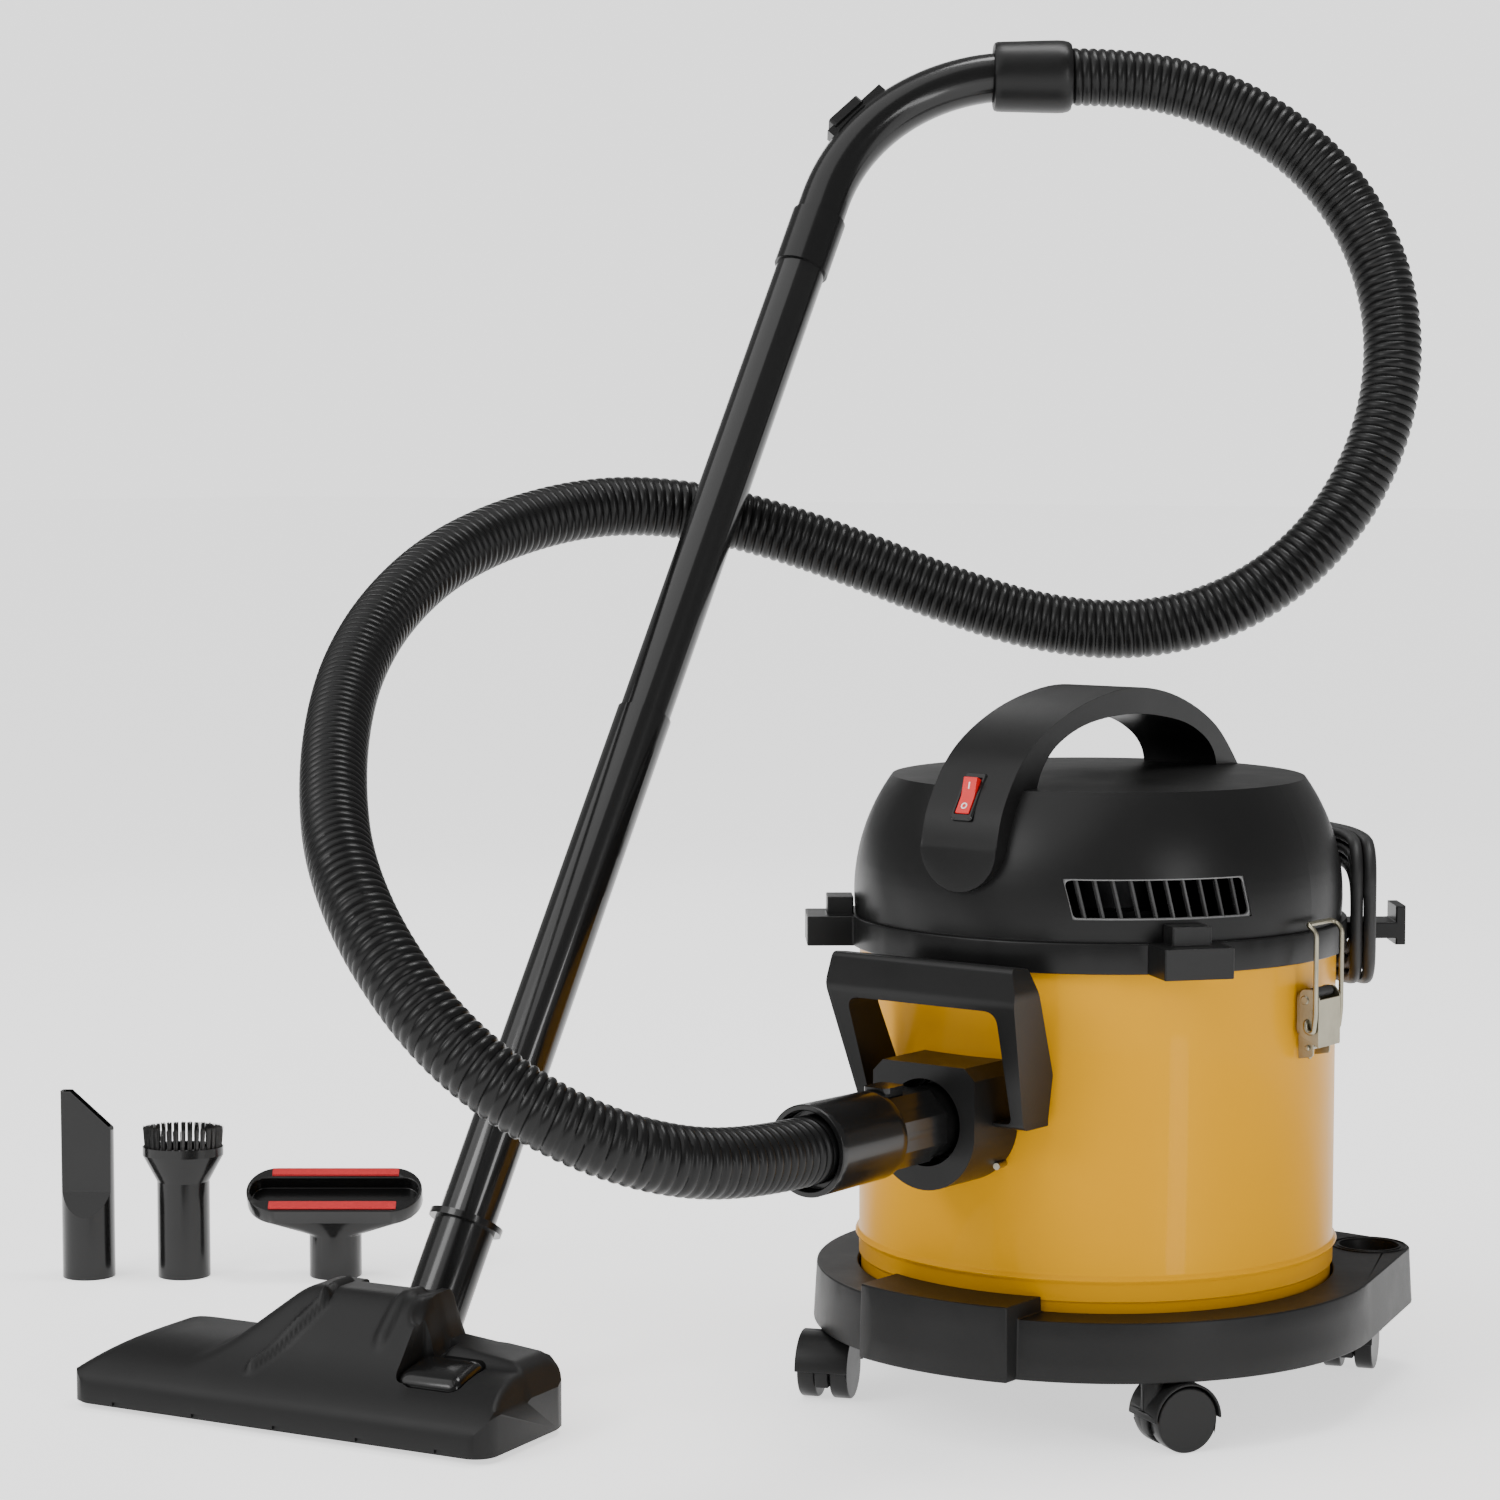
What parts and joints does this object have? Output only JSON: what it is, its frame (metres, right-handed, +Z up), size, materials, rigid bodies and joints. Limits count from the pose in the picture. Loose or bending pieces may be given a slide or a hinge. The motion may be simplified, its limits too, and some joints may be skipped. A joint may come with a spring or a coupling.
{
  "type": "shop vacuum",
  "caption": "Drum shop vacuum on swivel casters with lift-off motor head, corrugated hose, bent grip, two-part wand, floor nozzle and small cleaning tools.",
  "frame": {"origin": "on the floor under the drum's axis", "axes": "+Z up; -Y is the front, where the hose enters the drum; +X is the right side seen from the front's back, beside the right-hand latch"},
  "size_m": [0.9072, 0.8488, 0.8514],
  "materials": {
    "black_plastic": "satin moulded",
    "gloss_black_plastic": "polished moulded",
    "yellow_paint": "gloss enamel",
    "black_paint": "satin powder coat",
    "zinc_steel": "bright zinc plate",
    "switch_red": "glossy",
    "hose_plastic": "corrugated, semi-gloss",
    "cord_rubber": "satin",
    "seal_rubber": "matte",
    "motor_steel": "laminated",
    "fan_aluminium": "as pressed",
    "filter_paper": "pleated",
    "float_plastic": "plain",
    "bristle": "stiff bristle",
    "lint_red": "napped",
    "wheel_plastic": "satin"
  },
  "bodies": {
    "tub": {"base_ring": "black_plastic", "drum": "yellow_paint", "base_screws": "zinc_steel", "inlet_bracket": "black_plastic", "inlet_deflector": "black_plastic", "inlet_screws": "zinc_steel", "latch_bracket_right": "zinc_steel", "latch_bracket_left": "zinc_steel", "latch_rivets": "zinc_steel", "hose_end_body": "gloss_black_plastic", "hose_end_collar": "gloss_black_plastic", "suction_hose": "hose_plastic", "grip_cuff": "gloss_black_plastic", "grip_pipe": "black_plastic", "wand_upper": "black_paint", "wand_lower": "black_paint", "nozzle_neck": "gloss_black_plastic"},
    "head": {"head_cover": "black_plastic", "exhaust_grilles": "black_plastic", "head_rim": "black_plastic", "head_seal": "seal_rubber", "carry_handle": "black_plastic", "switch_bezel": "gloss_black_plastic", "fan_case": "black_plastic", "motor_stator": "motor_steel", "float_cage": "black_plastic", "cartridge_filter": "filter_paper", "head_screws": "zinc_steel", "cord_gland": "cord_rubber", "power_cord_lead": "cord_rubber", "power_cord_hank": "cord_rubber", "plug": "cord_rubber"},
    "rotor": {"rotor_shaft": "motor_steel", "impeller": "fan_aluminium"},
    "float": {"float_cup": "float_plastic"},
    "rocker": {"switch_rocker": "switch_red"},
    "lock_button": {"hose_end_button": "gloss_black_plastic"},
    "air_slide": {"air_slide": "black_plastic"},
    "nozzle": {"nozzle_cover": "black_plastic", "nozzle_sole": "black_plastic"},
    "rollers": {"nozzle_rollers": "wheel_plastic"},
    "pedal": {"nozzle_pedal": "black_plastic"},
    "brush_strip": {"nozzle_brush": "bristle"},
    "crevice_tool": {"crevice_tool": "black_plastic"},
    "dusting_brush": {"dusting_brush": "black_plastic", "brush_bristles": "bristle"},
    "upholstery_tool": {"upholstery_tool": "black_plastic", "lint_strips": "lint_red"},
    "caster_front_right": {"caster_hood_front_right": "black_plastic"},
    "wheels_front_right": {"caster_wheels_front_right": "wheel_plastic"},
    "caster_front_left": {"caster_hood_front_left": "black_plastic"},
    "wheels_front_left": {"caster_wheels_front_left": "wheel_plastic"},
    "caster_rear_right": {"caster_hood_rear_right": "black_plastic"},
    "wheels_rear_right": {"caster_wheels_rear_right": "wheel_plastic"},
    "caster_rear_left": {"caster_hood_rear_left": "black_plastic"},
    "wheels_rear_left": {"caster_wheels_rear_left": "wheel_plastic"},
    "lever_right": {"latch_lever_right": "zinc_steel"},
    "bail_right": {"latch_bail_right": "zinc_steel"},
    "lever_left": {"latch_lever_left": "zinc_steel"},
    "bail_left": {"latch_bail_left": "zinc_steel"}
  },
  "joints": [
    {"name": "head_lift", "type": "slide", "parent": "tub", "child": "head", "axis": [0, 0, 1], "range_m": [0, 0.14]},
    {"name": "rotor_spin", "type": "hinge", "parent": "head", "child": "rotor", "pos_m": [0, 0, 0.3], "axis": [0, 0, 1], "continuous": true},
    {"name": "float_rise", "type": "slide", "parent": "head", "child": "float", "axis": [0, 0, 1], "range_m": [0, 0.039]},
    {"name": "switch_rock", "type": "hinge", "parent": "head", "child": "rocker", "pos_m": [0, -0.139, 0.3725], "axis": [-1, 0, 0], "range_deg": [0, 20]},
    {"name": "lock_press", "type": "slide", "parent": "tub", "child": "lock_button", "axis": [0, 0, -1], "range_m": [0, 0.0025], "stiffness_N_per_m": 400},
    {"name": "air_slide", "type": "slide", "parent": "tub", "child": "air_slide", "axis": [0.3781, 0.6631, 0.646], "range_m": [0, 0.012]},
    {"name": "nozzle_pitch", "type": "hinge", "parent": "tub", "child": "nozzle", "pos_m": [-0.29, -0.298, 0.03], "axis": [0.9863, 0.165, 0], "range_deg": [-20, 40]},
    {"name": "roller_spin", "type": "hinge", "parent": "nozzle", "child": "rollers", "pos_m": [-0.30067, -0.31905, 0.007], "axis": [0.9863, 0.165, 0], "continuous": true},
    {"name": "pedal_rock", "type": "hinge", "parent": "nozzle", "child": "pedal", "pos_m": [-0.22569, -0.34909, 0.0325], "axis": [0.9863, 0.165, 0], "range_deg": [0, 8]},
    {"name": "brush_lift", "type": "slide", "parent": "nozzle", "child": "brush_strip", "axis": [0, 0, 1], "range_m": [0, 0.006]},
    {"name": "swivel_front_right", "type": "hinge", "parent": "tub", "child": "caster_front_right", "pos_m": [0.113, -0.116, 0.041], "axis": [0, 0, 1], "continuous": true},
    {"name": "roll_front_right", "type": "hinge", "parent": "caster_front_right", "child": "wheels_front_right", "pos_m": [0.1205, -0.10301, 0.019], "axis": [-0.866, 0.5, 0], "continuous": true},
    {"name": "swivel_front_left", "type": "hinge", "parent": "tub", "child": "caster_front_left", "pos_m": [-0.113, -0.116, 0.041], "axis": [0, 0, 1], "continuous": true},
    {"name": "roll_front_left", "type": "hinge", "parent": "caster_front_left", "child": "wheels_front_left", "pos_m": [-0.10738, -0.12991, 0.019], "axis": [0.9272, 0.3746, 0], "continuous": true},
    {"name": "swivel_rear_right", "type": "hinge", "parent": "tub", "child": "caster_rear_right", "pos_m": [0.113, 0.116, 0.041], "axis": [0, 0, 1], "continuous": true},
    {"name": "roll_rear_right", "type": "hinge", "parent": "caster_rear_right", "child": "wheels_rear_right", "pos_m": [0.10787, 0.13009, 0.019], "axis": [-0.9397, -0.342, 0], "continuous": true},
    {"name": "swivel_rear_left", "type": "hinge", "parent": "tub", "child": "caster_rear_left", "pos_m": [-0.113, 0.116, 0.041], "axis": [0, 0, 1], "continuous": true},
    {"name": "roll_rear_left", "type": "hinge", "parent": "caster_rear_left", "child": "wheels_rear_left", "pos_m": [-0.12361, 0.12661, 0.019], "axis": [-0.7071, -0.7071, 0], "continuous": true},
    {"name": "lever_right", "type": "hinge", "parent": "tub", "child": "lever_right", "pos_m": [0.153, 0, 0.224], "axis": [0, 1, 0], "range_deg": [0, 110]},
    {"name": "bail_right", "type": "hinge", "parent": "lever_right", "child": "bail_right", "pos_m": [0.1535, 0, 0.24], "axis": [0, 1, 0], "range_deg": [-4, 75]},
    {"name": "lever_left", "type": "hinge", "parent": "tub", "child": "lever_left", "pos_m": [-0.153, 0, 0.224], "axis": [0, -1, 0], "range_deg": [0, 110]},
    {"name": "bail_left", "type": "hinge", "parent": "lever_left", "child": "bail_left", "pos_m": [-0.1535, 0, 0.24], "axis": [0, -1, 0], "range_deg": [-4, 75]},
    {"name": "lift_crevice_tool", "type": "slide", "parent": "tub", "child": "crevice_tool", "axis": [0, 0, 1], "range_m": [0, 0.15]},
    {"name": "lift_dusting_brush", "type": "slide", "parent": "tub", "child": "dusting_brush", "axis": [0, 0, 1], "range_m": [0, 0.15]},
    {"name": "lift_upholstery_tool", "type": "slide", "parent": "tub", "child": "upholstery_tool", "axis": [0, 0, 1], "range_m": [0, 0.15]}
  ]
}
